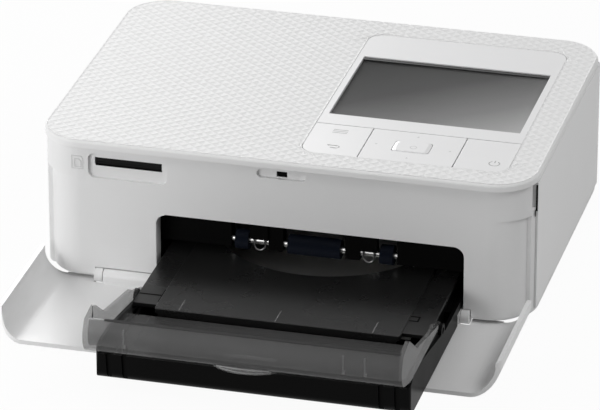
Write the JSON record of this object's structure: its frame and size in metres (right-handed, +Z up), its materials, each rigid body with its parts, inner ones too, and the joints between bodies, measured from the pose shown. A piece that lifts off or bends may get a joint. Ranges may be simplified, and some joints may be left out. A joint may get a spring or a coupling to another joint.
{
  "type": "compact photo printer",
  "caption": "Desktop dye-transfer photo printer with an open front door, a paper cassette with a scoop-shaped output tray, and a flat display beside its keys.",
  "frame": {"origin": "middle of the floor area that the whole part covers at rest, on the surface that it stands on", "axes": "+X to the viewer's right, -Y the way the front faces, +Z up"},
  "size_m": [0.1822, 0.2234, 0.0579],
  "materials": {
    "case_white": "satin moulded, fine grain",
    "cover_lattice": "satin, raised diamond lattice",
    "panel_white": "smooth satin",
    "key_white": "smooth satin",
    "door_white": "satin moulded",
    "window_clear": "clear",
    "display_dark": "glossy, dark",
    "cassette_black": "satin black",
    "lid_smoke": "dark smoke, fine grain",
    "tray_smoke": "translucent smoke",
    "liner_black": "matte black",
    "roller_rubber": "matte, blue-black",
    "foot_rubber": "matte",
    "bright_steel": "ground",
    "plate_steel": "zinc plated",
    "sink_aluminium": "extruded",
    "gear_white": "natural acetal",
    "motor_can": "dull plated",
    "board_green": "solder mask",
    "port_metal": "pressed",
    "port_black": "moulded",
    "ribbon_grey": "moulded",
    "film_yellow": "dyed film",
    "dome_clear": "clear film",
    "fan_black": "moulded",
    "strip_ceramic": "glazed"
  },
  "bodies": {
    "printer": {"front_panel": "case_white", "body_shell": "case_white", "bottom_case": "case_white", "case_screws": "plate_steel", "rubber_feet": "foot_rubber", "top_cover": "cover_lattice", "control_panel": "panel_white", "display_window": "window_clear", "display_module": "display_dark", "key_board": "board_green", "key_domes": "dome_clear", "feed_liner": "liner_black", "left_side_plate": "plate_steel", "right_side_plate": "plate_steel", "chassis_stays": "plate_steel", "sheet_hold_down_wires": "bright_steel", "motor_bracket": "plate_steel", "feed_motor": "motor_can", "ribbon_case": "ribbon_grey", "ribbon_film": "film_yellow", "head_pivot_shaft": "bright_steel", "ribbon_cover_pins": "bright_steel", "door_hinge_pins": "bright_steel", "fan_frame": "fan_black", "main_board": "board_green", "card_socket": "port_metal", "port_board": "board_green", "power_jack": "port_black", "usb_ports": "port_metal"},
    "door": {"front_door": "door_white"},
    "cassette": {"cassette_base": "cassette_black", "cassette_lid": "lid_smoke", "lift_springs": "bright_steel"},
    "tray": {"output_tray": "tray_smoke"},
    "lift": {"lift_plate": "plate_steel"},
    "cover": {"ribbon_cover": "case_white"},
    "eject": {"ribbon_eject_lever": "ribbon_grey"},
    "menu_key": {"menu_back_key": "key_white"},
    "power_button": {"power_key": "key_white"},
    "ok_button": {"ok_key": "key_white"},
    "nav_frame": {"nav_pivot_frame": "port_black"},
    "nav": {"nav_pad": "key_white"},
    "capstan": {"capstan_roller": "bright_steel", "capstan_gear": "gear_white"},
    "idler": {"idler_gear": "gear_white"},
    "pickup": {"pickup_shaft": "bright_steel", "pickup_rollers": "roller_rubber", "pickup_gear": "gear_white"},
    "takeup": {"takeup_spool": "gear_white", "takeup_film_roll": "film_yellow", "takeup_gear": "gear_white"},
    "motor_rotor": {"motor_pinion": "gear_white"},
    "pinch": {"pinch_roller": "bright_steel"},
    "platen": {"platen_roller": "roller_rubber"},
    "supply": {"supply_spool": "gear_white", "supply_film_roll": "film_yellow"},
    "head": {"print_head_strip": "strip_ceramic", "head_heat_sink": "sink_aluminium", "head_arm": "plate_steel"},
    "fan": {"fan_rotor": "fan_black"}
  },
  "joints": [
    {"name": "door_hinge", "type": "hinge", "parent": "printer", "child": "door", "pos_m": [0, -0.01925, 0.0042], "axis": [-1, 0, 0], "range_deg": [0, 0.4]},
    {"name": "cassette_slide", "type": "slide", "parent": "printer", "child": "cassette", "axis": [0, -1, 0], "range_m": [0, 0.07]},
    {"name": "tray_hinge", "type": "hinge", "parent": "cassette", "child": "tray", "pos_m": [0.0101, -0.04825, 0.0124], "axis": [-1, 0, 0], "range_deg": [0, 75]},
    {"name": "lift_plate_hinge", "type": "hinge", "parent": "cassette", "child": "lift", "pos_m": [0.0101, 0.02125, 0.0105], "axis": [-1, 0, 0], "range_deg": [0, 2], "deforming": ["lift_springs"]},
    {"name": "ribbon_cover_hinge", "type": "hinge", "parent": "printer", "child": "cover", "pos_m": [0.09, 0.10125, 0.029], "axis": [0, 0, 1], "range_deg": [0, 90]},
    {"name": "eject_lever_pivot", "type": "hinge", "parent": "printer", "child": "eject", "pos_m": [0.079, 0.03325, 0.034], "axis": [0, 0, -1], "range_deg": [0, 12]},
    {"name": "menu_back_rock", "type": "hinge", "parent": "printer", "child": "menu_key", "pos_m": [0.01475, 0.00285, 0.0564], "axis": [1, 0, 0], "range_deg": [-1.2, 1.2], "stiffness_Nm_per_rad": 0.2},
    {"name": "power_key_press", "type": "slide", "parent": "printer", "child": "power_button", "axis": [0, 0, -1], "range_m": [0, 0.00025], "stiffness_N_per_m": 400},
    {"name": "ok_key_press", "type": "slide", "parent": "printer", "child": "ok_button", "axis": [0, 0, -1], "range_m": [0, 0.00025], "stiffness_N_per_m": 400},
    {"name": "nav_tilt_front_back", "type": "hinge", "parent": "printer", "child": "nav_frame", "pos_m": [0.0425, 0.00305, 0.05585], "axis": [1, 0, 0], "range_deg": [-1, 1], "stiffness_Nm_per_rad": 0.2},
    {"name": "nav_tilt_left_right", "type": "hinge", "parent": "nav_frame", "child": "nav", "pos_m": [0.0425, 0.00305, 0.05585], "axis": [0, 1, 0], "range_deg": [-1, 1], "stiffness_Nm_per_rad": 0.2},
    {"name": "capstan_spin", "type": "hinge", "parent": "printer", "child": "capstan", "pos_m": [0.0101, 0.03074, 0.0227], "axis": [1, 0, 0], "continuous": true},
    {"name": "idler_spin", "type": "hinge", "parent": "printer", "child": "idler", "pos_m": [0.0101, 0.00674, 0.0227], "axis": [1, 0, 0], "continuous": true},
    {"name": "pickup_spin", "type": "hinge", "parent": "printer", "child": "pickup", "pos_m": [0.0101, -0.00905, 0.0201], "axis": [1, 0, 0], "continuous": true},
    {"name": "takeup_spin", "type": "hinge", "parent": "printer", "child": "takeup", "pos_m": [0.0101, 0.04706, 0.03494], "axis": [1, 0, 0], "continuous": true},
    {"name": "motor_spin", "type": "hinge", "parent": "printer", "child": "motor_rotor", "pos_m": [0.0101, 0.04917, 0.01732], "axis": [1, 0, 0], "continuous": true},
    {"name": "pinch_spin", "type": "hinge", "parent": "printer", "child": "pinch", "pos_m": [0.0101, 0.03074, 0.0285], "axis": [1, 0, 0], "continuous": true},
    {"name": "platen_spin", "type": "hinge", "parent": "printer", "child": "platen", "pos_m": [0.0101, 0.06725, 0.0202], "axis": [1, 0, 0], "continuous": true},
    {"name": "supply_spin", "type": "hinge", "parent": "printer", "child": "supply", "pos_m": [0.0101, 0.08906, 0.03494], "axis": [1, 0, 0], "continuous": true},
    {"name": "fan_spin", "type": "hinge", "parent": "printer", "child": "fan", "pos_m": [-0.084, 0.07925, 0.027], "axis": [1, 0, 0], "continuous": true},
    {"name": "print_head_swing", "type": "hinge", "parent": "printer", "child": "head", "pos_m": [0.0101, 0.10325, 0.0426], "axis": [1, 0, 0], "range_deg": [0, 6.5], "stiffness_Nm_per_rad": 0.3, "springref_deg": -11.46}
  ],
  "couplings": [
    {"joint": "idler_spin", "follows": "capstan_spin", "ratio": -1.5},
    {"joint": "pickup_spin", "follows": "capstan_spin", "ratio": 2.25},
    {"joint": "takeup_spin", "follows": "capstan_spin", "ratio": -2.4},
    {"joint": "motor_spin", "follows": "capstan_spin", "ratio": -3},
    {"joint": "pinch_spin", "follows": "capstan_spin", "ratio": -0.83333}
  ]
}
